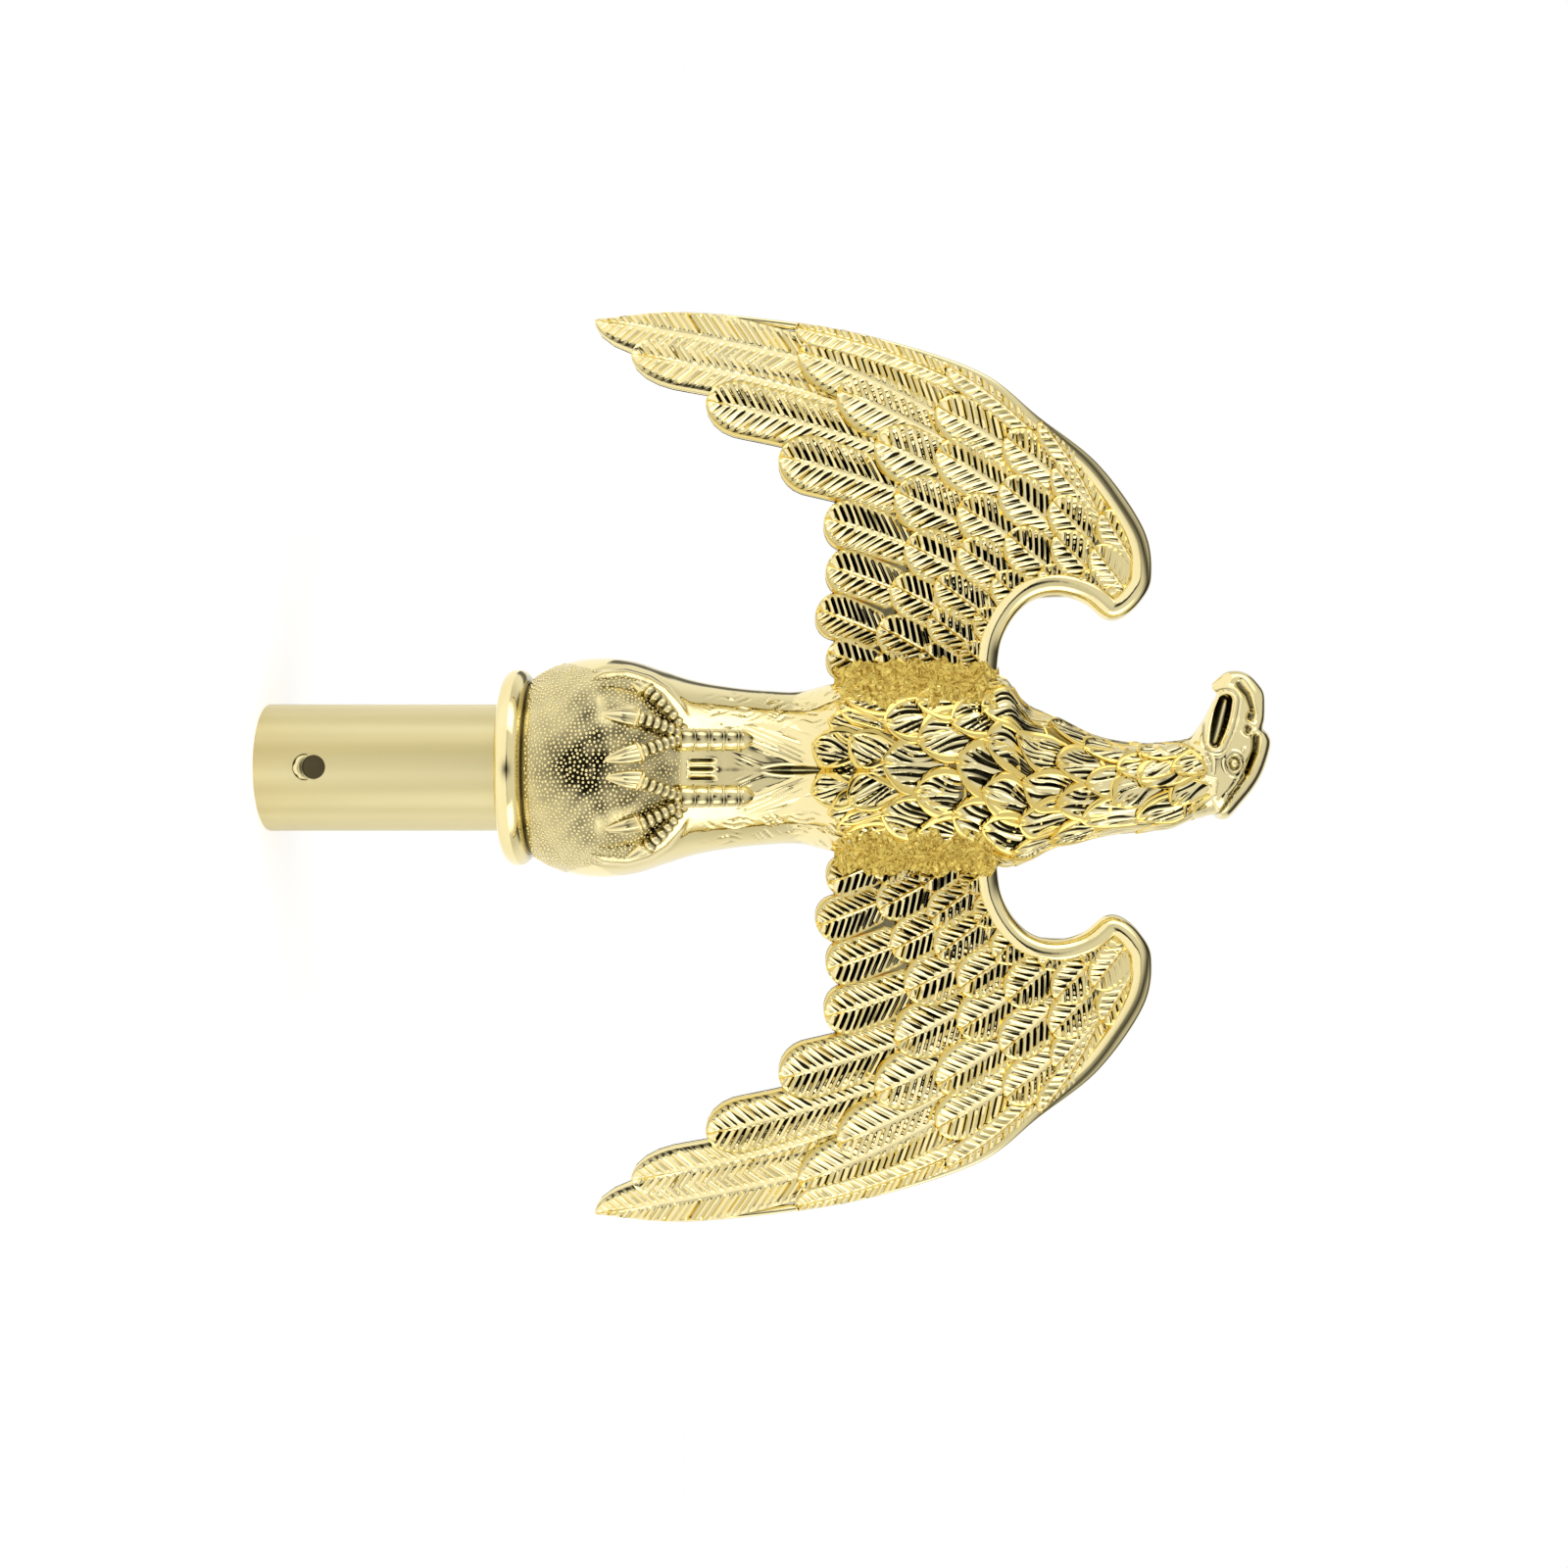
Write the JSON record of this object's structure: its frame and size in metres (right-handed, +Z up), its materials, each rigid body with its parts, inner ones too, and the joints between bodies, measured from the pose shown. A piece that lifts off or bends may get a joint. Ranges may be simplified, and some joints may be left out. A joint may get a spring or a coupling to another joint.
{
  "type": "eagle finial",
  "caption": "Pole-top finial: a gold-plated eagle with spread wings on a stippled ball, over a plain satin socket tube with a screw hole.",
  "frame": {"origin": "middle of the socket tube's open lower end, which the finial stands on", "axes": "+Z up along the pole, the eagle's breast faces -Y, its left wing points to +X and its beak to -X"},
  "size_m": [0.175, 0.0468, 0.2],
  "materials": {
    "plating": "mirror-bright gold plating",
    "tube": "satin champagne gold, drawn lengthwise",
    "joint_gold": "rough matte gold filler over the wing joints"
  },
  "bodies": {
    "root": {"socket_tube": "tube", "eagle_on_ball": "plating", "left_wing": "plating", "right_wing": "plating"}
  },
  "joints": []
}
